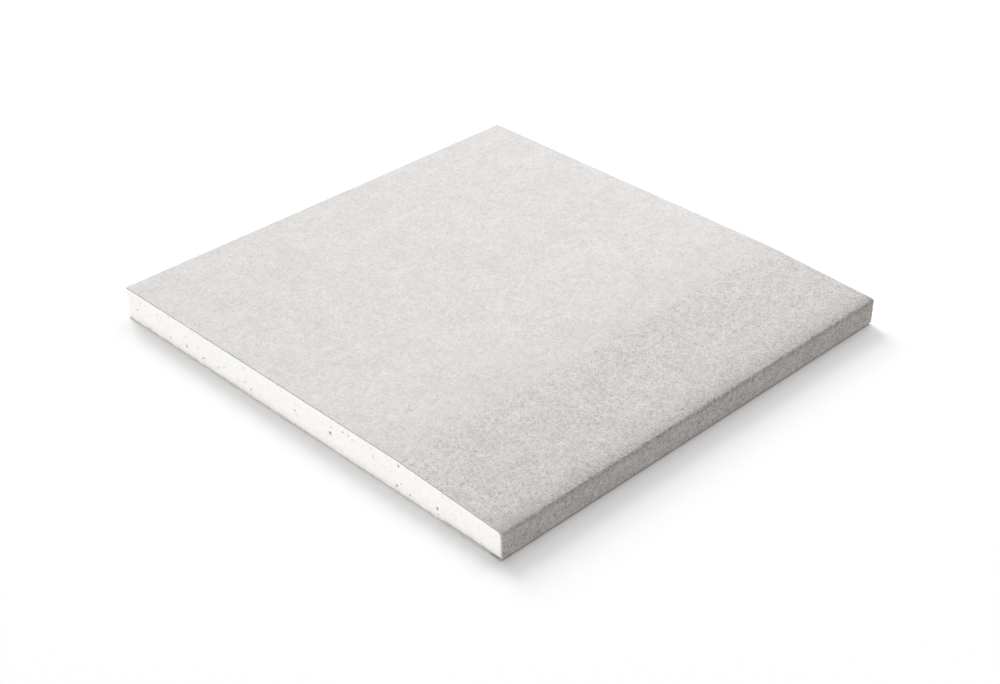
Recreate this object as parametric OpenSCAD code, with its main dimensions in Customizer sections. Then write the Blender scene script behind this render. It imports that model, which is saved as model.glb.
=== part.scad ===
// Drywall sheet: a nearly square piece sawn from a tapered-edge gypsum board.
// A gypsum core lies between two paper liners. The face paper is folded round the one
// factory edge and laps under the core, and the back paper is glued over that lap.
// X runs across the board to the bound edge, Y along it, and Z up out of the face.

/* [Sheet] */
// Width of the piece, from the sawn side to the bound edge
sheet_w = 185; // [120:1:600]
// Length of the piece, along the bound edge
sheet_l = 181; // [100:1:600]
// Thickness over the flat of the board, with both papers
sheet_t = 12.5; // [9.5:0.5:18]

/* [Tapered edge] */
// Width of the taper, measured in from the bound edge
taper_w = 45; // [40:1:80]
// Depth of the taper at the bound edge
taper_d = 2.5; // [0.6:0.1:3.5]
// Radius of the paper over the upper arris of the bound edge
arris_r = 0.8; // [0.8:0.1:3]
// Radius of the paper where it folds under the bound edge
fold_r = 0.8; // [0.8:0.1:2]

/* [Paper liners] */
// Thickness of the face paper
face_paper_t = 0.4; // [0.25:0.05:0.6]
// Thickness of the back paper
back_paper_t = 0.4; // [0.25:0.05:0.6]
// Width of face paper that laps under the core, measured in from the bound edge
lap_w = 25; // [10:1:40]
// Strip of that lap left bare between the back paper and the bound edge
reveal_w = 5; // [2:0.5:9]

/* [Hidden] */
$fn = 64;

gypsum_white = [0.95, 0.95, 0.94];
face_grey = [0.86, 0.85, 0.84];
back_grey = [0.72, 0.70, 0.67];

// Where the section ends: the sawn side, the bound edge, and the top of the back paper
sawn_x = -sheet_w / 2;
edge_x = sheet_w / 2;
bed_z = back_paper_t;

// The taper falls from the flat to the bound edge at this angle
taper_angle = atan2(taper_d, taper_w);
taper_normal = [sin(taper_angle), cos(taper_angle)];

// Corners of the bound edge on a surface that lies `inset` inside the outer face of the
// paper: the shoulder, where it meets the taper, and the heel, where it meets the back
function shoulder(inset) = [
    edge_x - inset,
    sheet_t - taper_d + inset * tan(taper_angle) - inset / cos(taper_angle)
];
function heel(inset) = [edge_x - inset, bed_z + inset];

// Centres of the two arcs that the paper turns on
arris_c = shoulder(arris_r);
fold_c = heel(fold_r);

// An arc stands this far proud of the sides it touches, so that it meets them in a clean cut
arc_overrun = 0.0001;

// Corner that lies outside an arc about the origin, between the directions `a` and `b` in
// which the arc touches its two sides
module beyond_arc(r, a, b) {
    reach = 2 * r;
    difference() {
        polygon([[0, 0], reach * a, reach * (a + b), reach * b]);
        circle(r = r + arc_overrun);
    }
}

// Section of the board above the back paper, `inset` inside the outer face of the face
// paper on every side that the paper covers
module wrapped_section(inset) {
    flat_z = sheet_t - inset;
    taper_run = (flat_z - shoulder(inset).y) / tan(taper_angle);
    difference() {
        polygon([
            [sawn_x, heel(inset).y],
            heel(inset),
            shoulder(inset),
            [shoulder(inset).x - taper_run, flat_z],
            [sawn_x, flat_z]
        ]);
        translate(arris_c) beyond_arc(arris_r - inset, [1, 0], taper_normal);
        translate(fold_c) beyond_arc(fold_r - inset, [1, 0], [0, -1]);
    }
}

// Section of the gypsum: all that the face paper wraps, and the bed under it as far as the lap
module core_section() {
    wrapped_section(face_paper_t);
    translate([sawn_x, bed_z]) square([sheet_w - lap_w, face_paper_t]);
}

// Runs a section, drawn in X and Z, along the length of the piece
module along_length() {
    rotate([90, 0, 0]) linear_extrude(height = sheet_l, center = true) children();
}

// Foamed gypsum, bare on the three sawn sides
module gypsum_core() {
    color(gypsum_white) along_length() core_section();
}

// One sheet of paper over the face, the taper and the bound edge, lapped under the core
module face_paper() {
    color(face_grey) along_length() difference() {
        wrapped_section(0);
        core_section();
    }
}

// Flat sheet over the back, which covers the lap and stops short of the bound edge
module back_paper() {
    color(back_grey) along_length()
        translate([sawn_x, 0]) square([sheet_w - reveal_w, back_paper_t]);
}

gypsum_core();
face_paper();
back_paper();
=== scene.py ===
"""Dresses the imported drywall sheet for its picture.

The board is one piece of stock: a foamed gypsum core between a face paper, which is folded round
the tapered edge, and a back paper. Each piece here is a surface worked out on a grid, in metres and
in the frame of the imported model: X runs to the bound edge, Y along it, and Z up out of the face.
"""
import logging
from dataclasses import dataclass
from enum import Enum
from typing import Callable, Optional, Sequence, Union

import bpy
import numpy as np
from mathutils import Matrix, Vector


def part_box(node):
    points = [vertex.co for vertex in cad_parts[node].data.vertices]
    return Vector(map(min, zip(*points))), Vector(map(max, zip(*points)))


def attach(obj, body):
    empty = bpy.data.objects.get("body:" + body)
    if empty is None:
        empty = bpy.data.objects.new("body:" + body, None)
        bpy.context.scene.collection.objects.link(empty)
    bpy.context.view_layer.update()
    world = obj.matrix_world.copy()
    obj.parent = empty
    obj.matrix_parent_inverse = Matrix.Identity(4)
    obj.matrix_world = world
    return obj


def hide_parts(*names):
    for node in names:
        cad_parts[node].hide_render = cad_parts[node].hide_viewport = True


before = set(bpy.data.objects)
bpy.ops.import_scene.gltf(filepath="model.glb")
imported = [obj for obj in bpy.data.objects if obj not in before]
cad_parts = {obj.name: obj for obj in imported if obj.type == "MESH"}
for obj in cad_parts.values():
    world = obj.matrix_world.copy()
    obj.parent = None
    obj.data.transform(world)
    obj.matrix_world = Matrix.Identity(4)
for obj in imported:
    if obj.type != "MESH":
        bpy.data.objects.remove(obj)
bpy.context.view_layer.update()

MM = 0.001
WHITE = (1.0, 1.0, 1.0)
ARC_POINTS = 10
BODY = "root"
SHEET_MAP = "sheet"
PORE_SHADE_MARK = "pore"
DUST_AND_SHADE_MARK = "dust"
LOG = logging.getLogger("drywall_sheet")

Array = np.ndarray
Pair = tuple[float, float]
Triple = tuple[float, float, float]
Colour = Triple
Number = Union[float, "Field"]


@dataclass(frozen=True)
class Board:
    """Sizes of the board in metres.

    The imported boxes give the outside, and the fields with a value give the bound edge.

    Attributes:
        sawn_x: Place of the sawn side.
        edge_x: Place of the bound edge.
        half_length: Half the length along the bound edge.
        top_z: Height of the flat face.
        bed_z: Top of the back paper.
        paper: Thickness of a paper.
        back_end_x: Place where the back paper ends, short of the bound edge.
        taper_width: Width of the taper.
        taper_depth: Depth of the taper at the bound edge.
        taper_blend: Length over which the flat bends into the taper.
        arris_radius: Radius of the paper over the upper arris.
        fold_radius: Radius of the paper where it folds under.
        lap_width: Width of face paper under the core, from the bound edge.
    """

    sawn_x: float
    edge_x: float
    half_length: float
    top_z: float
    bed_z: float
    paper: float
    back_end_x: float
    taper_width: float = 45 * MM
    taper_depth: float = 2.5 * MM
    taper_blend: float = 1.5 * MM
    arris_radius: float = 0.8 * MM
    fold_radius: float = 0.5 * MM
    lap_width: float = 25 * MM

    @classmethod
    def from_frame(cls) -> "Board":
        """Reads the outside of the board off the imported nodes.

        Returns:
            The board.
        """
        low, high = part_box("face_paper")
        core_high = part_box("gypsum_core")[1]
        back_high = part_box("back_paper")[1]
        return cls(low.x, high.x, high.y, high.z, back_high.z, high.z - core_high.z, back_high.x)

    @property
    def taper_angle(self) -> float:
        """Angle at which the taper falls."""
        return float(np.arctan2(self.taper_depth, self.taper_width))

    @property
    def taper_start_x(self) -> float:
        """Place where the flat ends."""
        return self.edge_x - self.taper_width

    @property
    def arris_centre(self) -> Array:
        """Centre of the arc over the upper arris, which touches the taper and the bound edge."""
        radius, angle = self.arris_radius, self.taper_angle
        fall = radius / np.cos(angle) - radius * np.tan(angle)
        return np.array([self.edge_x - radius, self.top_z - self.taper_depth - fall])

    @property
    def fold_centre(self) -> Array:
        """Centre of the arc where the paper folds under."""
        return np.array([self.edge_x - self.fold_radius, self.bed_z + self.fold_radius])

    @property
    def arris_start_x(self) -> float:
        """Place where the taper turns into the arris."""
        return float(self.arris_centre[0] + self.arris_radius * np.sin(self.taper_angle))

    @property
    def arris_run(self) -> float:
        """Run over the face from the sawn side to the arris."""
        drop = self.taper_depth - self.arris_radius * np.tan(self.taper_angle)
        slope = np.hypot(self.arris_start_x - self.taper_start_x, drop)
        return float(self.taper_start_x - self.sawn_x + slope)

    @property
    def edge_run(self) -> float:
        """Run over the face from the sawn side to the middle of the bound edge."""
        turn = self.arris_radius * (np.pi / 2 - self.taper_angle)
        return float(self.arris_run + turn + (self.arris_centre[1] - self.fold_centre[1]) / 2)

    def face_z(self, x: Array) -> Array:
        """Height of the outer face over the flat and the taper.

        The face is level, then falls at the taper's slope. Half the sum of the run past the taper's
        start and a hyperbola of that run bends the one into the other.

        Args:
            x: Places across the board.

        Returns:
            The height of the face at each place.
        """
        run = x - self.taper_start_x
        bent = (run + np.sqrt(run ** 2 + self.taper_blend ** 2)) / 2
        return self.top_z - np.tan(self.taper_angle) * bent


@dataclass(frozen=True)
class Profile:
    """Line that a paper's outer face follows in X and Z.

    Attributes:
        points: X and Z of each point.
        normals: Direction out of the paper at each point.
        run: Distance along the line from its first point.
    """

    points: Array
    normals: Array
    run: Array

    @classmethod
    def through(cls, points: Array) -> "Profile":
        """Makes the line through some points, with its outer side on the left of the way.

        Args:
            points: X and Z of each point, in order.

        Returns:
            The line.
        """
        step = np.gradient(points, axis=0)
        step /= np.linalg.norm(step, axis=1, keepdims=True)
        normals = np.stack([-step[:, 1], step[:, 0]], axis=1)
        run = np.concatenate([[0.0], np.cumsum(np.linalg.norm(np.diff(points, axis=0), axis=1))])
        return cls(points, normals, run)

    @classmethod
    def of_face_paper(cls, board: Board, pitch: float) -> "Profile":
        """Follows the face paper from the sawn side to the end of the lap.

        The line is the face's height over X, an arc over the arris, a straight drop down the bound
        edge, an arc under the fold and a level run back under the core.

        Args:
            board: Sizes of the board.
            pitch: Distance between points on the flat.

        Returns:
            The line of the outer face.
        """
        flat_x = spread(board.sawn_x, board.arris_start_x, pitch)
        over = np.linspace(np.pi / 2 - board.taper_angle, 0.0, ARC_POINTS)[1:]
        under = np.linspace(0.0, -np.pi / 2, ARC_POINTS - 2)
        edge_z = spread(board.arris_centre[1], board.fold_centre[1], pitch)[1:-1]
        lap_x = spread(board.fold_centre[0], board.edge_x - board.lap_width, 2 * pitch)[1:]
        return cls.through(np.concatenate([
            np.stack([flat_x, board.face_z(flat_x)], axis=1),
            arc(board.arris_centre, board.arris_radius, over),
            np.stack([np.full_like(edge_z, board.edge_x), edge_z], axis=1),
            arc(board.fold_centre, board.fold_radius, under),
            np.stack([lap_x, np.full_like(lap_x, board.bed_z)], axis=1),
        ]))

    @classmethod
    def of_back_paper(cls, board: Board, pitch: float) -> "Profile":
        """Follows the underside of the back paper, level from its factory end to the sawn side.

        Args:
            board: Sizes of the board.
            pitch: Distance between points.

        Returns:
            The line of the underside.
        """
        x = spread(board.back_end_x, board.sawn_x, pitch)
        return cls.through(np.stack([x, np.zeros_like(x)], axis=1))


@dataclass(frozen=True)
class Waves:
    """Smooth random relief: a sum of cosine waves of random heading, length and phase.

    Attributes:
        seed: Start of the random numbers.
        shortest: Shortest wave.
        longest: Longest wave.
        count: Number of waves.
    """

    seed: int
    shortest: float
    longest: float
    count: int = 48

    def __call__(self, u: Array, v: Array) -> Array:
        """Adds the waves up, scaled to a mean square of one.

        Args:
            u: Places along the first direction.
            v: Places along the second direction.

        Returns:
            The relief at each place.
        """
        rng = np.random.default_rng(self.seed)
        heading = rng.uniform(0.0, 2 * np.pi, self.count)
        length = self.shortest * (self.longest / self.shortest) ** rng.uniform(0.0, 1.0, self.count)
        phase = rng.uniform(0.0, 2 * np.pi, self.count)
        total = np.zeros(np.broadcast(u, v).shape)
        for turn, wave, start in zip(heading, 2 * np.pi / length, phase):
            total += np.cos(wave * (np.cos(turn) * u + np.sin(turn) * v) + start)
        return total * np.sqrt(2 / self.count)


def spread(start: float, end: float, pitch: float) -> Array:
    """Spreads points evenly from start to end, no further apart than the pitch."""
    return np.linspace(start, end, int(np.ceil(abs(end - start) / pitch)) + 1)


def graded(half: float, pitch: float, finest: float) -> Array:
    """Spreads points over a length about zero, crowded towards both its ends.

    Args:
        half: Half the length.
        pitch: Distance between points in the middle.
        finest: Distance between the last points.

    Returns:
        The places, from the lowest to the highest.
    """
    border = finest * np.array([0, 1, 2.5, 5])
    middle = spread(-half + border[-1], half - border[-1], pitch)[1:-1]
    return np.concatenate([-half + border, middle, (half - border)[::-1]])


def arc(centre: Array, radius: float, angles: Array) -> Array:
    """Gives the points of an arc in X and Z."""
    return centre + radius * np.stack([np.cos(angles), np.sin(angles)], axis=1)


def rise(value: Array, start: float, end: float) -> Array:
    """Climbs from 0 at start to 1 at end, as three squares less two cubes of the share between."""
    share = np.clip((value - start) / (end - start), 0.0, 1.0)
    return share * share * (3 - 2 * share)


class Shell:
    """Points and faces of one closed piece, gathered patch by patch."""

    def __init__(self) -> None:
        """Starts with no points."""
        self.points: list[Array] = []
        self.faces: list[list[int]] = []
        self.slots: list[int] = []
        self.count = 0

    def add(self, points: Array) -> Array:
        """Adds points.

        Args:
            points: Places, with X, Y and Z along the last axis.

        Returns:
            The number of each point, in the shape of the grid.
        """
        flat = points.reshape(-1, 3)
        numbers = self.count + np.arange(len(flat))
        self.points.append(flat)
        self.count += len(flat)
        return numbers.reshape(points.shape[:-1])

    def face(self, corners: Array, slot: int = 0, flip: bool = False) -> None:
        """Adds faces of one size.

        Args:
            corners: Point numbers, one row a face.
            slot: Material slot of the faces.
            flip: Turns the faces over.
        """
        rows = corners[:, ::-1] if flip else corners
        self.faces.extend(rows.tolist())
        self.slots.extend([slot] * len(rows))

    def skin(self, numbers: Array, slot: int = 0, flip: bool = False) -> None:
        """Covers a grid of points with quads that face the first axis crossed with the second.

        Args:
            numbers: Point numbers of the grid.
            slot: Material slot of the quads.
            flip: Turns the quads over.
        """
        corners = numbers[:-1, :-1], numbers[1:, :-1], numbers[1:, 1:], numbers[:-1, 1:]
        quads = np.stack(corners, axis=-1)
        self.face(quads.reshape(-1, 4), slot, flip)

    def cap(self, ring: Array, slot: int = 0, flip: bool = False) -> None:
        """Closes a ring of points with one face."""
        self.face(ring.reshape(1, -1), slot, flip)

    def make(
        self, name: str, materials: Sequence[bpy.types.Material], crease: float = 40.0
    ) -> bpy.types.Object:
        """Makes the object, smooth but for edges that turn by more than the crease.

        Args:
            name: Name of the piece.
            materials: One material a slot.
            crease: Angle in degrees.

        Returns:
            The object, at the origin.
        """
        mesh = bpy.data.meshes.new(name)
        mesh.from_pydata(np.concatenate(self.points), [], self.faces)
        for material in materials:
            mesh.materials.append(material)
        mesh.polygons.foreach_set("material_index", self.slots)
        mesh.shade_smooth()
        mesh.set_sharp_from_angle(angle=np.radians(crease))
        mesh.update()
        piece = bpy.data.objects.new(name, mesh)
        bpy.context.scene.collection.objects.link(piece)
        return piece


def lay_map(mesh: bpy.types.Mesh, places: Array) -> None:
    """Gives a mesh the map of its flat sheet.

    Args:
        mesh: Mesh of the piece.
        places: Two places on the sheet for each point, in metres.
    """
    corner = np.empty(len(mesh.loops), dtype=np.int32)
    mesh.loops.foreach_get("vertex_index", corner)
    layer = mesh.uv_layers.new(name=SHEET_MAP)
    layer.data.foreach_set("uv", places[corner].astype(np.float32).ravel())


def settle(piece: bpy.types.Object, node: Optional[str] = None) -> None:
    """Puts a piece on the board's body and reports it.

    Args:
        piece: The finished piece.
        node: Node that the piece stands for.
    """
    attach(piece, BODY)
    if node is not None:
        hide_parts(node)
    points, faces = len(piece.data.vertices), len(piece.data.polygons)
    LOG.info("%s: %d points, %d faces, on %s", piece.name, points, faces, BODY)


def math_operator(operation: str, reflected: bool = False) -> Callable[["Field", Number], "Field"]:
    """Makes the operator of one sum.

    Args:
        operation: Operation of the Math node.
        reflected: Whether the other value comes first.

    Returns:
        The operator, which adds the node and gives its value.
    """

    def worked(field: "Field", other: Number) -> "Field":
        """Adds the Math node of the sum."""
        values = (other, field) if reflected else (field, other)
        return field.shader.field("ShaderNodeMath", {"operation": operation}, dict(enumerate(values)))

    return worked


class Field:
    """A value that changes over a surface, with the sums that are written with it."""

    def __init__(self, shader: "Shader", socket: bpy.types.NodeSocket) -> None:
        """Wraps one output socket of a shader."""
        self.shader = shader
        self.socket = socket

    __add__, __radd__ = math_operator("ADD"), math_operator("ADD", reflected=True)
    __sub__, __rsub__ = math_operator("SUBTRACT"), math_operator("SUBTRACT", reflected=True)
    __mul__, __rmul__ = math_operator("MULTIPLY"), math_operator("MULTIPLY", reflected=True)


class Shader:
    """Node tree of one material or of the world."""

    def __init__(self, tree: bpy.types.NodeTree) -> None:
        """Starts on an emptied tree."""
        self.tree = tree
        tree.nodes.clear()

    @staticmethod
    def port(sockets: Sequence[bpy.types.NodeSocket], key: Union[int, str]) -> bpy.types.NodeSocket:
        """Finds a socket by its place, identifier or name.

        Args:
            sockets: The sockets of a node.
            key: The place, identifier or name.

        Returns:
            The socket.
        """
        if isinstance(key, int):
            return sockets[key]
        found = [s for s in sockets if s.identifier == key] or [s for s in sockets if s.name == key]
        return found[0]

    def node(self, kind: str, settings: Optional[dict] = None, sockets: Optional[dict] = None) -> bpy.types.Node:
        """Adds a node.

        Args:
            kind: Type of the node.
            settings: Its settings, which are set first.
            sockets: Values or links of its input sockets.

        Returns:
            The node.
        """
        made = self.tree.nodes.new(kind)
        for key, value in (settings or {}).items():
            setattr(made, key, value)
        for key, value in (sockets or {}).items():
            port = self.port(made.inputs, key)
            if isinstance(value, Field):
                self.tree.links.new(value.socket, port)
            else:
                port.default_value = value
        return made

    def fields(self, node: bpy.types.Node, *keys: Union[int, str]) -> tuple[Field, ...]:
        """Gives some outputs of a node."""
        return tuple(Field(self, self.port(node.outputs, key)) for key in keys)

    def field(
        self,
        kind: str,
        settings: Optional[dict] = None,
        sockets: Optional[dict] = None,
        output: Union[int, str] = 0,
    ) -> Field:
        """Adds a node and gives one of its outputs."""
        return self.fields(self.node(kind, settings, sockets), output)[0]

    def scaled(self, vector: Union[Colour, Field], share: Number) -> Field:
        """A colour or a place times a number."""
        return self.field("ShaderNodeVectorMath", {"operation": "SCALE"}, {"Vector": vector, "Scale": share})

    def leaned(self, colour: Field, lean: Field) -> Field:
        """A colour times another, channel by channel."""
        return self.field("ShaderNodeVectorMath", {"operation": "MULTIPLY"}, {0: colour, 1: lean})

    def mixed(self, share: Number, first: Union[Colour, Field], second: Union[Colour, Field]) -> Field:
        """Mixes two colours, each the same all over or not.

        Args:
            share: Share of the second colour.
            first: The first colour.
            second: The second colour.

        Returns:
            The mixed colour.
        """
        ends = [end if isinstance(end, Field) else (*end, 1.0) for end in (first, second)]
        return self.field(
            "ShaderNodeMix",
            {"data_type": "RGBA"},
            {"Factor_Float": share, "A_Color": ends[0], "B_Color": ends[1]},
            "Result_Color",
        )

    def smooth(self, value: Field, start: float, end: float) -> Field:
        """Climbs from 0 at start to 1 at end."""
        return self.field("ShaderNodeMapRange", {"interpolation_type": "SMOOTHSTEP"}, {
            "Value": value,
            "From Min": start,
            "From Max": end,
        })

    def sheet_place(self) -> Field:
        """Place on the flat sheet, in millimetres."""
        return self.scaled(self.field("ShaderNodeUVMap", {"uv_map": SHEET_MAP}), 1 / MM)

    def solid_place(self) -> Field:
        """Place in the piece, in millimetres."""
        return self.scaled(self.field("ShaderNodeTexCoord", output="Object"), 1 / MM)

    def part(self, place: Field, axis: str) -> Field:
        """One axis of a place."""
        return self.field("ShaderNodeSeparateXYZ", sockets={"Vector": place}, output=axis)

    def mark(self, name: str) -> Field:
        """A mark that the mesh carries."""
        return self.field("ShaderNodeAttribute", {"attribute_name": name}, output="Fac")

    def laid(self, place: Field, size: Sequence[float], start: float, turn: float = 0.0) -> Field:
        """Lays a pattern over a place.

        Args:
            place: Place in millimetres.
            size: Size of the pattern along its own axes: two on a sheet, three in a solid.
            start: Shift of the pattern, so that no two are alike.
            turn: Angle of the pattern about Z, in degrees.

        Returns:
            The place in units of the pattern.
        """
        return self.field("ShaderNodeMapping", {"vector_type": "TEXTURE"}, {
            "Vector": place,
            "Location": (start, -start, 0.5 * start),
            "Rotation": (0.0, 0.0, np.radians(turn)),
            "Scale": (*size, 1.0)[:3],
        })

    def cloud(
        self, place: Field, size: Sequence[float], start: float = 0.0, detail: float = 1.0, turn: float = 0.0
    ) -> Field:
        """Cloudy noise about zero.

        Args:
            place: Place in millimetres.
            size: Size of the spots: two on a sheet, three in a solid.
            start: Shift of the noise.
            detail: Octaves of finer noise.
            turn: Angle of the spots about Z, in degrees.

        Returns:
            The noise.
        """
        raw = self.field(
            "ShaderNodeTexNoise",
            {"noise_dimensions": f"{len(size)}D"},
            {"Vector": self.laid(place, size, start, turn), "Scale": 1.0, "Detail": detail, "Roughness": 0.5},
        )
        return raw - 0.5

    def cells(self, place: Field, size: Sequence[float], start: float) -> tuple[Field, ...]:
        """Splits a sheet or a solid into random cells.

        Args:
            place: Place in millimetres.
            size: Size of a cell: two on a sheet, three in a solid.
            start: Shift of the cells.

        Returns:
            The distance from the nearest cell's middle, in cells, and two random values of that cell.
        """
        made = self.node("ShaderNodeTexVoronoi", {"voronoi_dimensions": f"{len(size)}D"}, {
            "Vector": self.laid(place, size, start),
            "Scale": 1.0,
        })
        distance, colour = self.fields(made, "Distance", "Color")
        return distance, *self.fields(self.node("ShaderNodeSeparateColor", sockets={"Color": colour}), 0, 1)


def new_material(name: str) -> tuple[bpy.types.Material, Shader]:
    """Makes an empty material and its shader.

    Args:
        name: Name of the material.

    Returns:
        The material and its shader.
    """
    material = bpy.data.materials.new(name)
    material.use_nodes = True
    return material, Shader(material.node_tree)


@dataclass(frozen=True)
class Relief:
    """How a matte surface takes the light.

    Attributes:
        depth: Depth of a relief of one, in metres.
        gloss: Specular level.
        roughness: Mean roughness.
        spread: How far the grain changes the roughness.
    """

    depth: float
    gloss: float
    roughness: float
    spread: float

    def close(self, shader: Shader, colour: Field, grain: Field, height: Field) -> None:
        """Ends a shader in a rough surface with fine relief.

        Args:
            shader: The material's shader.
            colour: Colour over the surface.
            grain: Grain over the surface, about zero.
            height: Relief over the surface.
        """
        bump = shader.field("ShaderNodeBump", sockets={"Height": height, "Distance": self.depth, "Strength": 1.0})
        surface = shader.field("ShaderNodeBsdfPrincipled", sockets={
            "Base Color": colour,
            "Roughness": self.roughness + self.spread * grain,
            "Normal": bump,
            "Specular IOR Level": self.gloss,
        })
        shader.node("ShaderNodeOutputMaterial", sockets={"Surface": surface})


@dataclass(frozen=True)
class Layer:
    """One size of mottle in a paper.

    Attributes:
        size: Size of the spots in millimetres.
        strength: How far the spots change the shade.
        gain: How much further they change it on a taper, as a share.
    """

    size: float
    strength: float
    gain: float


@dataclass(frozen=True)
class Zones:
    """How the face paper darkens towards the bound edge, by the run over the sheet in millimetres.

    The taper darkens by painted shade, and the band before the arris by wear and painted shade.

    Attributes:
        taper_run: Run at which the taper starts.
        arris_run: Run at which the arris starts.
        front: Place of the front end along the sheet.
        approach: Length over which the flat darkens into painted shade before the taper.
        approach_painted_shade: How far the painted shade darkens it there.
        taper_step: Lengths before and after the taper's start over which the paper steps down into painted shade.
        taper_painted_shade: How far it steps down into painted shade, as the taper faces away from the light.
        slope_painted_shade: Slow fall of painted shade over the taper.
        worn_and_shaded_band: Lengths before and after the arris over which the paper darkens, partly by wear and
            partly by painted shade of the arris.
        worn_and_painted_shade: How far it darkens there.
        rubbed_and_shaded_band: Lengths before and after the arris over which it darkens further, by wear and
            painted shade.
        rubbed_and_painted_shade: How far it darkens there.
        scuff_rise: Runs from the arris at which the scuffs begin and are full.
        scuff_fall: Runs from the arris at which they end and are full.
        scuff_size: Size of a scuff across and along the sheet.
        scuff_gate: Levels of noise at which a scuff begins and is full.
        scuff_shade: How far the scuffs darken the paper.
        blunt_length: Length from the front end over which the arris is rubbed blunt.
        blunt_shade: How far it darkens there.
        blunt_clean: Share of the scuffs that is rubbed off there.
        edge_turn: Length past the arris over which the shade turns into that of the bound edge, so that the
            painted shade of the arris reaches down the top of the edge.
        edge_level: Shade of the bound edge.
        edge_lean: How far the worn paper and the bound edge lean to each of red, green and blue.
        approach_lean: How far the flat leans before the taper.
        warm_lean: How far the warm patches of the taper lean.
        grey_lean: How far its grey patches lean.
    """

    taper_run: float
    arris_run: float
    front: float
    approach: float = 28.0
    approach_painted_shade: float = 0.05
    taper_step: Pair = (1.5, 2.5)
    taper_painted_shade: float = 0.038
    slope_painted_shade: float = 0.047
    worn_and_shaded_band: Pair = (11.0, 1.0)
    worn_and_painted_shade: float = 0.122
    rubbed_and_shaded_band: Pair = (4.5, 0.5)
    rubbed_and_painted_shade: float = 0.08
    scuff_rise: Pair = (-2.0, 0.5)
    scuff_fall: Pair = (3.8, 1.2)
    scuff_size: Pair = (0.7, 1.1)
    scuff_gate: Pair = (0.0, 0.16)
    scuff_shade: float = 0.31
    blunt_length: float = 24.0
    blunt_shade: float = 0.06
    blunt_clean: float = 0.8
    edge_turn: float = 2.7
    edge_level: float = 0.93
    edge_lean: Colour = (1.035, 1.0, 0.978)
    approach_lean: Colour = (1.006, 0.998, 0.999)
    warm_lean: Colour = (1.014, 0.9935, 0.990)
    grey_lean: Colour = (0.996, 1.001, 1.0)

    def read(self, shader: Shader, place: Field) -> "Zoned":
        """Works out the zones of the sheet, each a smooth step over the run.

        Args:
            shader: The material's shader.
            place: Place on the sheet.

        Returns:
            What the zones give at the place.
        """
        run, along = shader.part(place, "X"), shader.part(place, "Y")
        near = shader.smooth(run, self.taper_run - self.approach, self.taper_run)
        taper = shader.smooth(run, self.taper_run - self.taper_step[0], self.taper_run + self.taper_step[1])
        slope = shader.smooth(run, self.taper_run, self.arris_run)
        # The worn and rubbed bands are partly wear and partly painted shade of the arris, and the edge's slow
        # turn carries that painted shade down the edge.
        worn = shader.smooth(run, self.arris_run - self.worn_and_shaded_band[0], self.arris_run + self.worn_and_shaded_band[1])
        rubbed_and_shaded = shader.smooth(run, self.arris_run - self.rubbed_and_shaded_band[0], self.arris_run + self.rubbed_and_shaded_band[1])
        edge = shader.smooth(run, self.arris_run, self.arris_run + self.edge_turn)
        blunt = shader.smooth(along, self.front + self.blunt_length, self.front)
        worn_and_painted_shade = self.worn_and_painted_shade + self.blunt_shade * blunt
        # The approach, the taper's step and its slope are painted shade: the taper faces away from the light.
        shade = 1.0 - (self.approach_painted_shade * near + self.taper_painted_shade * taper)
        shade = shade - (self.slope_painted_shade * slope + worn_and_painted_shade * worn + self.rubbed_and_painted_shade * rubbed_and_shaded)
        shade = shade + (self.edge_level - shade) * edge
        band = shader.smooth(run, *(self.arris_run + reach for reach in self.scuff_rise))
        band = band * shader.smooth(run, *(self.arris_run + reach for reach in self.scuff_fall))
        spots = shader.cloud(place, self.scuff_size, 51.0, 2.0)
        scuffed = band * (1.0 - self.blunt_clean * blunt) * shader.smooth(spots, *self.scuff_gate)
        return Zoned(shade * (1.0 - self.scuff_shade * scuffed), near, taper, edge, worn)


@dataclass(frozen=True)
class Zoned:
    """What the zones give at a place.

    Attributes:
        shade: Shade of the paper, with painted shade of the taper and the arris and the darkening of wear.
        near: How far the place lies near the taper.
        taper: How far it lies on the taper.
        edge: How far it lies on the bound edge.
        worn: How far it lies in the band before the arris, which is partly worn and partly in painted shade.
    """

    shade: Number = 1.0
    near: Number = 0.0
    taper: Number = 0.0
    edge: Number = 0.0
    worn: Number = 0.0


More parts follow.
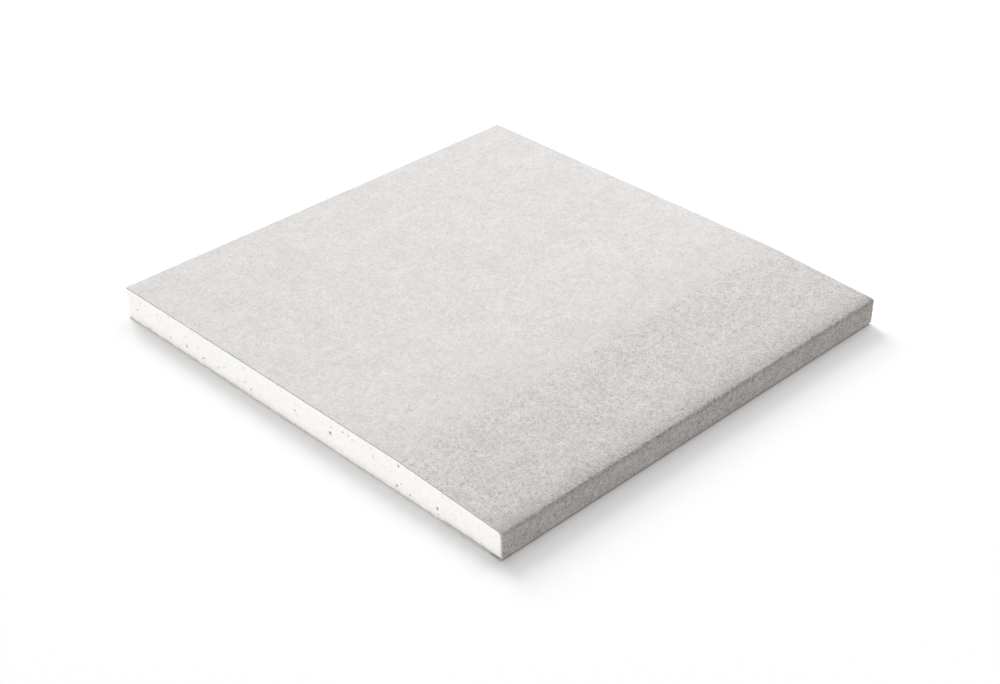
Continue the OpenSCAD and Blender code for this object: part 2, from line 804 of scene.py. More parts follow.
@dataclass(frozen=True)
class PaperFinish:
    """Recycled liner paper: mottled, with crossing fibres, stray flecks and a hint of colour.

    Attributes:
        name: Name of the material.
        colour: Colour of the plain sheet.
        fibre: How far short fibres change the shade.
        curl: How far curled fibres change the shade.
        fleck: How strongly stray flecks show.
        zones: How the sheet darkens towards a bound edge, by painted shade and by wear.
        warmth: How far the sheet turns warmer or cooler.
        layers: Mottle, from fine to coarse.
        stretch: How much longer the mottle is along the sheet than across it.
        fibre_turns: Angles of the short fibres, in degrees.
        fibre_size: Length and width of a short fibre in millimetres.
        curl_sizes: Sizes of a pale and of a dark curl in millimetres.
        fleck_cell: Size across the sheet and along it of the cells that hold a fleck each.
        fleck_reach: Radius of a fleck in cells.
        fleck_share: Share of the cells that show one.
        fleck_colours: Colours between which the flecks lie.
        relief: How the surface takes the light.
    """

    name: str
    colour: Colour
    fibre: float
    curl: float
    fleck: float
    zones: Optional[Zones] = None
    warmth: float = 0.016
    layers: tuple[Layer, ...] = (
        Layer(0.42, 0.21, 1.45),
        Layer(1.3, 0.13, 1.0),
        Layer(3.2, 0.13, 0.5),
        Layer(8.0, 0.09, 0.35),
        Layer(22.0, 0.055, 0.35),
    )
    stretch: float = 1.15
    fibre_turns: tuple[float, ...] = (8.0, 44.0, 80.0, 116.0, 152.0)
    fibre_size: Pair = (1.9, 0.323)
    curl_sizes: Pair = (2.8, 2.4)
    fleck_cell: Pair = (1.15, 1.495)
    fleck_reach: float = 0.29
    fleck_share: float = 0.5
    fleck_colours: tuple[Colour, Colour] = ((0.30, 0.29, 0.28), (0.42, 0.36, 0.30))
    relief: Relief = Relief(0.06 * MM, 0.2, 0.88, 0.2)

    def mottle(self, shader: Shader, place: Field, busy: Number) -> Field:
        """Adds the mottle layers, each a little longer along the sheet than across it.

        Args:
            shader: The material's shader.
            place: Place on the sheet.
            busy: How busy the paper is.

        Returns:
            The mottle about zero.
        """
        total: Number = 0.0
        for number, layer in enumerate(self.layers, 1):
            spots = shader.cloud(place, (layer.size, self.stretch * layer.size), 31.0 * number)
            total = total + layer.strength * (1.0 + layer.gain * busy) * spots
        return total

    def strokes(self, shader: Shader, place: Field) -> Field:
        """Lays short pale and dark fibres: stretched noise, cubed so that its peaks stand out.

        Args:
            shader: The material's shader.
            place: Place on the sheet.

        Returns:
            The fibres about zero.
        """
        total: Number = 0.0
        for turn in self.fibre_turns:
            streaks = shader.cloud(place, self.fibre_size, 5.0 + turn, 2.0, turn)
            total = total + 40.0 * streaks * streaks * streaks
        return total

    def curls(self, shader: Shader, place: Field, size: float, start: float) -> Field:
        """Marks curled fibres: the lines on which noise crosses zero, broken up by other noise.

        Args:
            shader: The material's shader.
            place: Place on the sheet.
            size: Size of a curl.
            start: Shift of the noise.

        Returns:
            Where the curls are.
        """
        wander = shader.cloud(place, (size, 1.2 * size), start)
        gate = shader.cloud(place, (0.7 * size, 0.8 * size), start + 9.0)
        return shader.smooth(wander * wander, 0.004, 0.0004) * shader.smooth(gate, 0.0, 0.1)

    def flecks(self, shader: Shader, place: Field) -> tuple[Field, Field]:
        """Scatters small flecks, one a cell, of which only a share shows.

        Args:
            shader: The material's shader.
            place: Place on the sheet.

        Returns:
            Where the flecks are, and their colour.
        """
        distance, chance, tone = shader.cells(place, self.fleck_cell, 7.0 * self.fleck_cell[0])
        shows = shader.smooth(chance, 1 - self.fleck_share, 1 - 0.6 * self.fleck_share)
        near = shader.smooth(distance, self.fleck_reach, 0.3 * self.fleck_reach)
        return near * shows, shader.mixed(tone, *self.fleck_colours)

    def stock(self, shader: Shader, place: Field, zoned: Zoned) -> Field:
        """Colour of the stock: it drifts between straw and cool, blushes in places and warms on the edge.

        Args:
            shader: The material's shader.
            place: Place on the sheet.
            zoned: What the zones give there.

        Returns:
            The colour.
        """
        red, green, blue = self.colour
        drift = self.warmth
        straw = (red * (1 + 0.2 * drift), green * (1 + 0.3 * drift), blue * (1 - drift))
        cool = (red * (1 - 0.2 * drift), green, blue * (1 + 0.6 * drift))
        pink = (red * (1 + 0.6 * drift), green * (1 - 0.7 * drift), blue)
        clouds = shader.cloud(place, (6.0, 7.0), 13.0, 2.0)
        blush = shader.cloud(place, (5.0, 6.0), 23.0, 2.0)
        colour = shader.mixed(shader.smooth(clouds, -0.2, 0.2), cool, straw)
        colour = shader.mixed(shader.smooth(blush, 0.03, 0.25), colour, pink)
        zones = self.zones
        if zones is None:
            return colour
        patches = shader.smooth(shader.cloud(place, (6.0, 6.5), 29.0, 2.0), -0.15, 0.15)
        on_flat = shader.mixed(zoned.near, WHITE, zones.approach_lean)
        on_taper = shader.mixed(patches, zones.warm_lean, zones.grey_lean)
        lean = shader.mixed(zoned.taper, on_flat, on_taper)
        return shader.leaned(colour, shader.mixed(zoned.worn, lean, zones.edge_lean))

    def build(self) -> bpy.types.Material:
        """Makes the material on the map of the flat sheet.

        Returns:
            The material.
        """
        material, shader = new_material(self.name)
        place = shader.sheet_place()
        zoned = self.zones.read(shader, place) if self.zones else Zoned()
        busy = zoned.taper + 0.4 * zoned.worn - 0.1 * zoned.edge
        laid_down = self.strokes(shader, place)
        pale, dark = self.curl_sizes
        curled = self.curls(shader, place, pale, 61.0) - self.curls(shader, place, dark, 41.0)
        threads = (1.0 + 0.7 * busy) * (self.fibre * laid_down + self.curl * curled)
        texture = (1.0 + 0.25 * zoned.edge) * (self.mottle(shader, place, busy) + threads)
        # Dark spots stand out further than pale ones, as they do in recycled stock
        texture = texture * (1.0 - 0.6 * texture)
        # The zones' shade holds painted shade of the taper and the arris as well as wear.
        colour = shader.scaled(self.stock(shader, place, zoned), zoned.shade * (1.0 + texture))
        specks, stray = self.flecks(shader, place)
        showing = specks * (self.fleck * (1.0 + 0.45 * busy))
        colour = shader.mixed(showing, colour, shader.scaled(stray, zoned.shade))
        grain = shader.cloud(place, (0.45, 0.5), 3.0, 3.0)
        self.relief.close(shader, colour, grain, grain + 0.5 * texture + 0.3 * (laid_down + curled))
        return material


@dataclass(frozen=True)
class CutPaperFinish:
    """Sawn edge of a paper: grey plies of fibre, seen end on.

    Attributes:
        name: Name of the material.
        colour: Colour of the cut.
        ply_size: Size of the plies' noise, which is thin through the sheet and long along it.
        lump_size: Size of the lumps.
        relief: How the surface takes the light.
    """

    name: str
    colour: Colour
    ply_size: Triple = (1.6, 1.6, 0.11)
    lump_size: Triple = (0.7, 0.7, 0.5)
    relief: Relief = Relief(0.08 * MM, 0.15, 0.92, 0.1)

    def build(self) -> bpy.types.Material:
        """Makes the material from the noise of the plies and of the lumps.

        Returns:
            The material.
        """
        material, shader = new_material(self.name)
        place = shader.solid_place()
        plies = shader.cloud(place, self.ply_size, detail=2.0)
        lumps = shader.cloud(place, self.lump_size, 11.0)
        colour = shader.scaled(self.colour, 1.0 + 0.5 * plies + 0.35 * lumps)
        self.relief.close(shader, colour, plies, plies + lumps)
        return material


@dataclass(frozen=True)
class GypsumFinish:
    """Sawn foamed gypsum: chalk white, faintly clouded, with fine pores and open ones painted dark as their
    shade.

    Attributes:
        name: Name of the material.
        colour: Colour of the gypsum.
        pore_shade_colour: Colour of the painted shade in the depth of an open pore.
        dust_and_shade_colour: Colour of the paper dust that the saw rubs in, which along the back paper also
            stands for painted contact shade.
        cloud_size: Size of the clouds.
        grain_size: Size of the grain.
        blot_size: Size of the blots.
        cell_size: Size of the cells that hold a fine pore each.
        relief: How the surface takes the light.
    """

    name: str
    colour: Colour
    pore_shade_colour: Colour
    dust_and_shade_colour: Colour
    cloud_size: Triple = (3.5, 3.5, 2.0)
    grain_size: Triple = (0.6, 0.6, 0.6)
    blot_size: Triple = (1.1, 1.1, 0.9)
    cell_size: Triple = (1.15, 1.15, 1.15)
    relief: Relief = Relief(0.1 * MM, 0.15, 0.94, 0.1)

    def build(self) -> bpy.types.Material:
        """Makes the material from solid noise, small cells, painted shade in the pores, and dust with painted
        shade.

        Returns:
            The material.
        """
        material, shader = new_material(self.name)
        place = shader.solid_place()
        cloud = shader.cloud(place, self.cloud_size, detail=2.0)
        grain = shader.cloud(place, self.grain_size, 19.0, 2.0)
        blots = shader.smooth(shader.cloud(place, self.blot_size, 43.0, 2.0), 0.04, 0.26)
        distance, chance, _ = shader.cells(place, self.cell_size, 5.0)
        fine = shader.smooth(distance, 0.3, 0.1) * shader.smooth(chance, 0.5, 1.0)
        # The fine pores are painted darker, as the shade in them.
        colour = shader.scaled(self.colour, 1.0 + 0.09 * cloud + 0.08 * grain - 0.13 * fine - 0.09 * blots)
        dust = shader.scaled(self.dust_and_shade_colour, 1.0 + 0.5 * grain)
        # Dust and painted contact shade along the back paper, and dust beside the bound edge.
        colour = shader.mixed(shader.mark(DUST_AND_SHADE_MARK), colour, dust)
        # Painted shade in the open pores.
        colour = shader.mixed(shader.mark(PORE_SHADE_MARK), colour, self.pore_shade_colour)
        self.relief.close(shader, colour, grain, 0.6 * grain + 0.5 * cloud - 1.2 * fine)
        return material


class Saw(Enum):
    """The three sides that a saw cut, each with its own start of the random numbers."""

    FRONT_END = 11
    BACK_END = 23
    SIDE = 37


@dataclass(frozen=True)
class GypsumCore:
    """Gypsum between the papers, with sawn sides that show the foam's pores.

    Attributes:
        board: Sizes of the board.
        pitch: Distance between points on the sawn sides.
        rows: Number of rows of quads through the core.
        roughness: Height of the saw's marks.
        saw_waves: Shortest and longest of these marks.
        crumble: How far the core's corners are worn back.
        crumble_waves: Shortest and longest stretch of that wear.
        crumble_reach: Distance from a paper over which the wear dies away.
        pores: Open pores to each square millimetre.
        pore_radii: Radius of the smallest scattered pore, and how much larger the largest is.
        pore_depth: Depth of a pore as a share of its radius.
        pore_shade_radii: Radii at which a pore gets no painted shade, and at which its painted shade is darkest.
        pore_shade_rim: Shares of its radius at which the painted shade in a pore begins, and at which it is
            darkest.
        bed_dust_and_shade: How grey the core is beside the back paper, as dust and painted contact shade, and
            over what height that fades.
        edge_dust: How grey the core is beside the bound edge, and how wide that band is.
        dust_turn: Radius on which that band turns under the arris.
        dust_patches: How patchy the dust is.
        dust_waves: Shortest and longest of its patches.
        step_half: Half the run of the step at the end of the lap.
        seen_pores: X in millimetres, share of the height and width in millimetres of the pores on
            the front end that stand out.
    """

    board: Board
    pitch: float = 0.3 * MM
    rows: int = 40
    roughness: float = 0.02 * MM
    saw_waves: Pair = (0.9 * MM, 6 * MM)
    crumble: float = 0.02 * MM
    crumble_waves: Pair = (0.8 * MM, 5 * MM)
    crumble_reach: float = 0.25 * MM
    pores: float = 0.06
    pore_radii: Pair = (0.17 * MM, 0.26 * MM)
    pore_depth: float = 0.9
    pore_shade_radii: Pair = (0.1 * MM, 0.5 * MM)
    pore_shade_rim: Pair = (1.15, 0.35)
    bed_dust_and_shade: Pair = (0.55, 0.95 * MM)
    edge_dust: Pair = (0.7, 0.8 * MM)
    dust_turn: float = 1.5 * MM
    dust_patches: float = 0.18
    dust_waves: Pair = (1.2 * MM, 9 * MM)
    step_half: float = 0.01 * MM
    seen_pores: tuple[Triple, ...] = (
        (-75, 0.75, 0.7), (-68, 0.25, 0.8), (-59, 0.3, 1.3), (-59, 0.6, 0.7), (-50, 0.25, 1.0),
        (-31, 0.25, 0.7), (-24, 0.25, 0.9), (16, 0.5, 1.4), (25, 0.8, 0.8), (27, 0.75, 0.7),
        (48, 0.85, 1.0), (47, 0.2, 1.0), (49, 0.35, 0.7), (65, 0.3, 1.3), (67, 0.75, 0.6),
        (73, 0.35, 0.6), (88, 0.85, 0.6),
    )

    @property
    def columns(self) -> Array:
        """Places across the core, crowded where its corners are round.

        Returns:
            The places, from the sawn side on.
        """
        board = self.board
        start = board.arris_start_x
        flat = spread(board.sawn_x, start, self.pitch)
        step = board.edge_x - board.lap_width + np.array([-self.step_half, self.step_half])
        turn = np.linspace(0.0, np.pi / 2, ARC_POINTS)[1:]
        corner = start + (board.edge_x - board.paper - start) * np.sin(turn)
        return np.sort(np.concatenate([flat, step, corner]))

    def span(self, x: Array) -> tuple[Array, Array]:
        """Finds the bottom and the top of the core.

        Both lie on the inner face of the face paper, and the bottom lies on the back paper as far as
        the lap.

        Args:
            x: Places across the core.

        Returns:
            The heights of the bottom and of the top.
        """
        board = self.board
        line = Profile.of_face_paper(board, self.pitch)
        inside = line.points - board.paper * line.normals
        over = inside[line.run <= board.edge_run]
        under = inside[line.run > board.edge_run][::-1]
        lapped = x > board.edge_x - board.lap_width
        bottom = np.where(lapped, np.interp(x, under[:, 0], under[:, 1]), board.bed_z)
        return bottom, np.interp(x, over[:, 0], over[:, 1])

    def scattered(self, side: Saw, length: float, height: float) -> Array:
        """Scatters pores over a sawn side, most of them small.

        Args:
            side: The side.
            length: Length of the side.
            height: Height of the side.

        Returns:
            Place along, height and radius of each pore.
        """
        rng = np.random.default_rng(side.value)
        count = int(self.pores * length * height / MM ** 2)
        along = rng.uniform(-length / 2, length / 2, count)
        up = rng.uniform(0.0, height, count)
        smallest, growth = self.pore_radii
        radius = smallest + growth * rng.uniform(0.0, 1.0, count) ** 3
        return np.stack([along, up, radius], axis=1)

    def sawn(self, side: Saw, along: Array, up: Array, pores: Array) -> tuple[Array, Array]:
        """Works out how far a sawn side lies inside its plane, and where the painted shade of its pores lies.

        The saw's marks are smooth random relief, the edges next to the papers are worn back by a
        random amount that dies away from them exponentially, and each pore is a round bowl.

        Args:
            side: The side.
            along: Places along the side.
            up: Heights on the side.
            pores: Place along, height and radius of each pore.

        Returns:
            The depth below the plane, and the painted shade of the pores from 0 to 1.
        """
        marks = Waves(side.value, *self.saw_waves)(along, up)
        depth = self.roughness * (marks - marks.min())
        rim = np.minimum(up - up[:, :1], up[:, -1:] - up)
        worn = np.minimum(Waves(side.value + 1, *self.crumble_waves)(along, up) ** 2, 2.0)
        depth += self.crumble * worn * np.exp(-rim / self.crumble_reach)
        mark = np.zeros_like(depth)
        for place, height, radius in pores:
            away = np.hypot(along - place, up - height) / radius
            bowl = np.sqrt(np.clip(1 - away ** 2, 0.0, None))
            depth = np.maximum(depth, self.pore_depth * radius * bowl)
            # Each pore's mark is painted shade in its bowl.
            mark = np.maximum(mark, rise(radius, *self.pore_shade_radii) * rise(away, *self.pore_shade_rim))
        return depth, mark

    def dusted_and_shaded(self, side: Saw, along: Array, up: Array) -> Array:
        """Works out how grey a sawn side is from paper dust, and from painted shade along the back paper.

        The grey dies away exponentially over the back paper, where it is dust and painted contact shade,
        and lies in a band of dust with a soft border beside the bound edge, which turns under the arris
        on an arc, and smooth random relief makes it patchy.

        Args:
            side: The side.
            along: Places along the side.
            up: Heights on the side.

        Returns:
            The share of dust and painted shade from 0 to 1.
        """
        # Along the back paper the grey is dust and painted contact shade.
        dust = self.bed_dust_and_shade[0] * np.exp(-(up - up[:, :1]) / self.bed_dust_and_shade[1])
        if side is not Saw.SIDE:
            ledge = np.interp(self.board.arris_start_x, along[:, 0], up[:, -1])
            beside = np.clip(self.dust_turn - (along[-1:] - along), 0.0, None)
            below = np.where(beside > 0, np.clip(self.dust_turn - (ledge - up), 0.0, None), 0.0)
            inside = self.dust_turn - np.hypot(beside, below)
            grey, wide = self.edge_dust
            dust = np.maximum(dust, grey * rise(inside, wide, 0.4 * wide))
        patches = 1 + self.dust_patches * Waves(side.value + 2, *self.dust_waves)(along, up)
        return np.clip(dust * patches, 0.0, 1.0)

    def build(self, finish: GypsumFinish) -> bpy.types.Object:
        """Builds the closed core from its three sawn sides and the strips that the papers cover.

        Args:
            finish: Finish of the gypsum.

        Returns:
            The core.
        """
        board = self.board
        x = self.columns
        low, high = self.span(x)
        share = np.linspace(0.0, 1.0, self.rows + 1)
        z = low[:, None] + share * (high - low)[:, None]
        along = np.broadcast_to(x[:, None], z.shape)
        y = spread(-board.half_length, board.half_length, self.pitch)
        side_z = np.broadcast_to(z[0], (len(y), len(share)))
        side_y = np.broadcast_to(y[:, None], side_z.shape)
        width, height = 2 * board.half_length, high[0]
        seen = np.array([(p * MM, h * height, d * MM / 2) for p, h, d in self.seen_pores])
        front_pores = np.concatenate([seen, self.scattered(Saw.FRONT_END, x[-1] - x[0], height)])
        front, front_pore_shade = self.sawn(Saw.FRONT_END, along, z, front_pores)
        back_pores = self.scattered(Saw.BACK_END, x[-1] - x[0], height)
        back, back_pore_shade = self.sawn(Saw.BACK_END, along, z, back_pores)
        side, side_pore_shade = self.sawn(Saw.SIDE, side_y, side_z, self.scattered(Saw.SIDE, width, height))
        front_x, back_x = along.copy(), along.copy()
        front_x[0] += side[0]
        back_x[0] += side[-1]
        shell = Shell()
        near = shell.add(np.stack([front_x, front - board.half_length, z], axis=-1))
        far = shell.add(np.stack([back_x, board.half_length - back, z], axis=-1))
        inner = shell.add(np.stack([board.sawn_x + side, side_y, side_z], axis=-1)[1:-1])
        left = np.concatenate([near[:1], inner, far[:1]])
        shell.skin(near)
        shell.skin(far, flip=True)
        shell.skin(left, flip=True)
        shell.skin(np.stack([near[-1], far[-1]]))
        for row, flip in ((-1, False), (0, True)):
            shell.skin(np.stack([near[1:, row], far[1:, row]], axis=1), flip=flip)
            shell.cap(np.concatenate([[near[1, row], far[1, row]], left[::-1, row]]), flip=flip)
        piece = shell.make("gypsum_core_sawn", [finish.build()])
        front_dust_and_shade, back_dust_and_shade = (self.dusted_and_shaded(end, along, z) for end in (Saw.FRONT_END, Saw.BACK_END))
        side_dust_and_shade = self.dusted_and_shaded(Saw.SIDE, side_y, side_z)
        # The marks hold the painted shade of the pores, and the dust and painted contact shade.
        for name, marks in (
            (PORE_SHADE_MARK, (front_pore_shade, back_pore_shade, side_pore_shade[1:-1])),
            (DUST_AND_SHADE_MARK, (front_dust_and_shade, back_dust_and_shade, side_dust_and_shade[1:-1])),
        ):
            layer = piece.data.attributes.new(name, "FLOAT", "POINT")
            layer.data.foreach_set("value", np.concatenate([mark.ravel() for mark in marks]).astype(np.float32))
        settle(piece, "gypsum_core")
        return piece


@dataclass(frozen=True)
class PaperSheet:
    """One paper, carried along the board on its profile.

    Attributes:
        board: Sizes of the board.
        name: Name of the piece.
        node: Node that the piece stands for.
        seed: Start of the random numbers.
        pitch: Distance between rows along the board.
        finest: Distance between the last rows.
        cockle: Height of the long waves in the sheet.
        cockle_waves: Shortest and longest of them.
        crinkle: Height of the short waves in the sheet.
        crinkle_waves: Shortest and longest of them.
        tear: How far the saw has frayed a cut edge.
        tear_waves: Shortest and longest fray.
        dent: Height of the dents along a bound arris.
        dent_waves: Shortest and longest dent.
        dent_place: Run from the arris to the middle of the dents.
        dent_reach: Run over which they die away.
    """

    board: Board
    name: str
    node: str
    seed: int
    pitch: float = 0.85 * MM
    finest: float = 0.2 * MM
    cockle: float = 0.015 * MM
    cockle_waves: Pair = (7 * MM, 45 * MM)
    crinkle: float = 0.008 * MM
    crinkle_waves: Pair = (1.6 * MM, 6 * MM)
    tear: float = 0.025 * MM
    tear_waves: Pair = (0.5 * MM, 4 * MM)
    dent: float = 0.0
    dent_waves: Pair = (1.8 * MM, 7 * MM)
    dent_place: float = 0.6 * MM
    dent_reach: float = 1.1 * MM

    def frayed(self, number: int, along: Array) -> Array:
        """How far a cut edge lies inside its plane: the size of smooth random relief."""
        return self.tear * np.abs(Waves(self.seed + number, *self.tear_waves)(along, np.zeros_like(along)))

    def relief(self, run: Array, rows: Array) -> Array:
        """Works out the relief of the outer face.

        It is the sum of long and short random waves, and of dents that die away from the arris as a
        bell curve.

        Args:
            run: Runs along the profile.
            rows: Places along the board.

        Returns:
            The height of the relief.
        """
        away = (run - self.board.arris_run - self.dent_place) / self.dent_reach
        relief = self.cockle * Waves(self.seed, *self.cockle_waves)(run, rows)
        relief += self.crinkle * Waves(self.seed + 1, *self.crinkle_waves)(run, rows)
        return relief + self.dent * np.exp(-away ** 2) * Waves(self.seed + 8, *self.dent_waves)(run, rows)

    def build(
        self, profile: Profile, sawn_first: bool, sheet: PaperFinish, cut: CutPaperFinish
    ) -> bpy.types.Object:
        """Builds the closed sheet.

        The outer face is the profile at each row, moved along its normal by the relief, but never
        downwards on a level underside. The inner face lies a paper behind it and runs straight from
        end to end.

        Args:
            profile: Line of the outer face.
            sawn_first: Whether the first point of the profile, and not the last, is on the sawn side.
            sheet: Finish of the faces.
            cut: Finish of the cut edges.

        Returns:
            The sheet.
        """
        board = self.board
        y = graded(board.half_length, self.pitch, self.finest)
        run, rows = np.meshgrid(profile.run, y, indexing="ij")
        relief = self.relief(run, rows)
        level = profile.normals[:, 1:] < -0.9
        settled = np.where(level, np.minimum(relief, 0.0), relief)
        line = profile.points[:, None, :] + settled[..., None] * profile.normals[:, None, :]
        outer = np.stack([line[..., 0], rows, line[..., 1]], axis=-1)
        back = profile.points - board.paper * profile.normals
        behind = np.broadcast_to(back[:, None, :], line.shape)
        inner = np.stack([behind[..., 0], rows, behind[..., 1]], axis=-1)
        for number, grid in enumerate((outer, inner)):
            grid[:, 0, 1] += self.frayed(2 + number, profile.run)
            grid[:, -1, 1] -= self.frayed(4 + number, profile.run)
            grid[0 if sawn_first else -1, :, 0] += self.frayed(6 + number, y)
        shell = Shell()
        face = shell.add(outer)
        ends = shell.add(inner[:, [0, -1]])
        first = np.concatenate([ends[:1, 0], shell.add(inner[0, 1:-1]), ends[:1, 1]])
        last = np.concatenate([ends[-1:, 0], shell.add(inner[-1, 1:-1]), ends[-1:, 1]])
        shell.skin(face)
        shell.skin(np.stack([ends[:, 0], face[:, 0]], axis=1), slot=1)
        shell.skin(np.stack([ends[:, 1], face[:, -1]], axis=1), slot=1, flip=True)
        shell.skin(np.stack([first, face[0]], axis=1), slot=1, flip=True)
        shell.skin(np.stack([last, face[-1]], axis=1), slot=1)
        shell.skin(ends[1:-1], flip=True)
        shell.cap(np.concatenate([first, ends[1, ::-1]]))
        shell.cap(np.concatenate([last, ends[-2, ::-1]]), flip=True)
        piece = shell.make(self.name, [sheet.build(), cut.build()])
        grids = np.stack([run, rows], axis=-1)
        patches = grids, grids[:, [0, -1]], grids[0, 1:-1], grids[-1, 1:-1]
        lay_map(piece.data, np.concatenate([patch.reshape(-1, 2) for patch in patches]))
        settle(piece, self.node)
        return piece


@dataclass(frozen=True)
class TornFibres:
    """Fibres that the saw left standing along the cut edges of a paper.

    Attributes:
        name: Name of the piece.
        slot: Node of the paper that the fibres come from; it is not used.
        seed: Start of the random numbers.
        spacing: Mean distance between fibres.
        longest: Length of the longest.
        shortest: Root of the shortest one's length, as a share of the longest.
        buried: Length inside the paper, as a share of the whole.
        root_scatter: How far the roots scatter about the middle of the paper.
        outward: How strongly the fibres point out of the cut.
        slant: How far they slant up and down.
        bend: How far they bend.
        radius: Radius at the root.
        rings: Rings of points along a fibre.
        sides: Points in a ring.
    """

    name: str
    slot: str
    seed: int
    spacing: float = 0.55 * MM
    longest: float = 0.9 * MM
    shortest: float = 0.25
    buried: float = 0.25
    root_scatter: float = 0.06 * MM
    outward: float = 0.6
    slant: float = 0.45
    bend: float = 0.4
    radius: float = 0.028 * MM
    rings: int = 5
    sides: int = 3

    def build(self, starts: Array, ends: Array, outward: Array, finish: CutPaperFinish) -> bpy.types.Object:
        """Builds one thin bent tube a fibre, rooted in the cut edge.

        A fibre leaves its edge outwards with a random slant, and bends by a random vector times the
        square of its length.

        Args:
            starts: Start of each cut edge.
            ends: End of each cut edge.
            outward: Direction out of each cut edge.
            finish: Finish of the fibres.

        Returns:
            The fibres, as one piece.
        """
        rng = np.random.default_rng(self.seed)
        span = np.linalg.norm(ends - starts, axis=1)
        count = int(span.sum() / self.spacing)
        edge = rng.choice(len(span), count, p=span / span.sum())
        heading = (ends - starts)[edge] / span[edge, None]
        root = starts[edge] + heading * (span[edge] * rng.uniform(0.002, 0.998, count))[:, None]
        scatter = rng.normal(0.0, self.root_scatter, count)
        root[:, 2] += scatter.clip(-2 * self.root_scatter, 2 * self.root_scatter)
        aim = self.outward * outward[edge] + heading * rng.normal(0.0, 1.0, (count, 1))
        aim[:, 2] += rng.normal(0.0, self.slant, count)
        aim /= np.linalg.norm(aim, axis=1, keepdims=True)
        length = self.longest * rng.uniform(self.shortest, 1.0, count) ** 2
        bend = rng.normal(0.0, self.bend, (count, 3))
        bend[:, 2] = np.abs(bend[:, 2])
        way = np.linspace(-self.buried, 1.0, self.rings)[None, :, None]
        reach = aim[:, None] * way + bend[:, None] * np.clip(way, 0, 1) ** 2
        centre = root[:, None] + length[:, None, None] * reach
        across = np.cross(aim, outward[edge] + np.array([0.1, 0.2, 0.9]))
        across /= np.linalg.norm(across, axis=1, keepdims=True)
        third = np.cross(aim, across)
        turn = 2 * np.pi * np.arange(self.sides) / self.sides
        wheel = across[:, None] * np.cos(turn)[:, None] + third[:, None] * np.sin(turn)[:, None]
        thin = self.radius * (1 - 0.5 * np.clip(way, 0.0, 1.0))
        points = centre[:, :, None, :] + thin[..., None] * wheel[:, None]
        points[..., 2] = np.maximum(points[..., 2], 0.0)
        shell = Shell()
        number = shell.add(points)
        beside = np.roll(number, -1, axis=2)
        quads = np.stack([number[:, :-1], beside[:, :-1], beside[:, 1:], number[:, 1:]], axis=-1)
        shell.face(quads.reshape(-1, 4))
        shell.face(number[:, 0], flip=True)
        shell.face(number[:, -1])
        piece = shell.make(self.name, [finish.build()], crease=180.0)
        settle(piece)
        return piece


class Lit(Enum):
    """What a lamp lights. The value says how the lamp is linked to the floor."""

    ALL = ""
    BOARD = "EXCLUDE"
    FLOOR = "INCLUDE"


@dataclass(frozen=True)
class Softbox:
    """One soft lamp that looks at the board.

    Attributes:
        name: Name of the lamp.
        heading: Angle about Z from +X to the lamp, in degrees.
        lift: Angle of the lamp over the floor, in degrees.
        size: Width and height.
        power: Power in watts.
        distance: Distance from the origin.
        lit: What it lights.
    """

    name: str
    heading: float
    lift: float
    size: Pair
    power: float
    distance: float = 3.0
    lit: Lit = Lit.ALL

    @property
    def place(self) -> Vector:
        """Place of the lamp's middle."""
        turn, lift = np.radians(self.heading), np.radians(self.lift)
        level = self.distance * np.cos(lift)
        return Vector((level * np.cos(turn), level * np.sin(turn), self.distance * np.sin(lift)))

    def build(self, floor: bpy.types.Object) -> bpy.types.Object:
        """Hangs the lamp, and links it to the floor, or to all but the floor, where it isn't to light both.

        Args:
            floor: The floor.

        Returns:
            The lamp.
        """
        data = bpy.data.lights.new(self.name, "AREA")
        data.shape = "RECTANGLE"
        data.size, data.size_y = self.size
        data.energy = self.power
        lamp = bpy.data.objects.new(self.name, data)
        lamp.location = self.place
        lamp.rotation_euler = self.place.to_track_quat("Z", "Y").to_euler()
        bpy.context.scene.collection.objects.link(lamp)
        if self.lit is not Lit.ALL:
            linked = bpy.data.collections.new(self.name + "_links")
            lamp.light_linking.receiver_collection = linked
            linked.objects.link(floor)
            linked.collection_objects[0].light_linking.link_state = self.lit.value
        return lamp


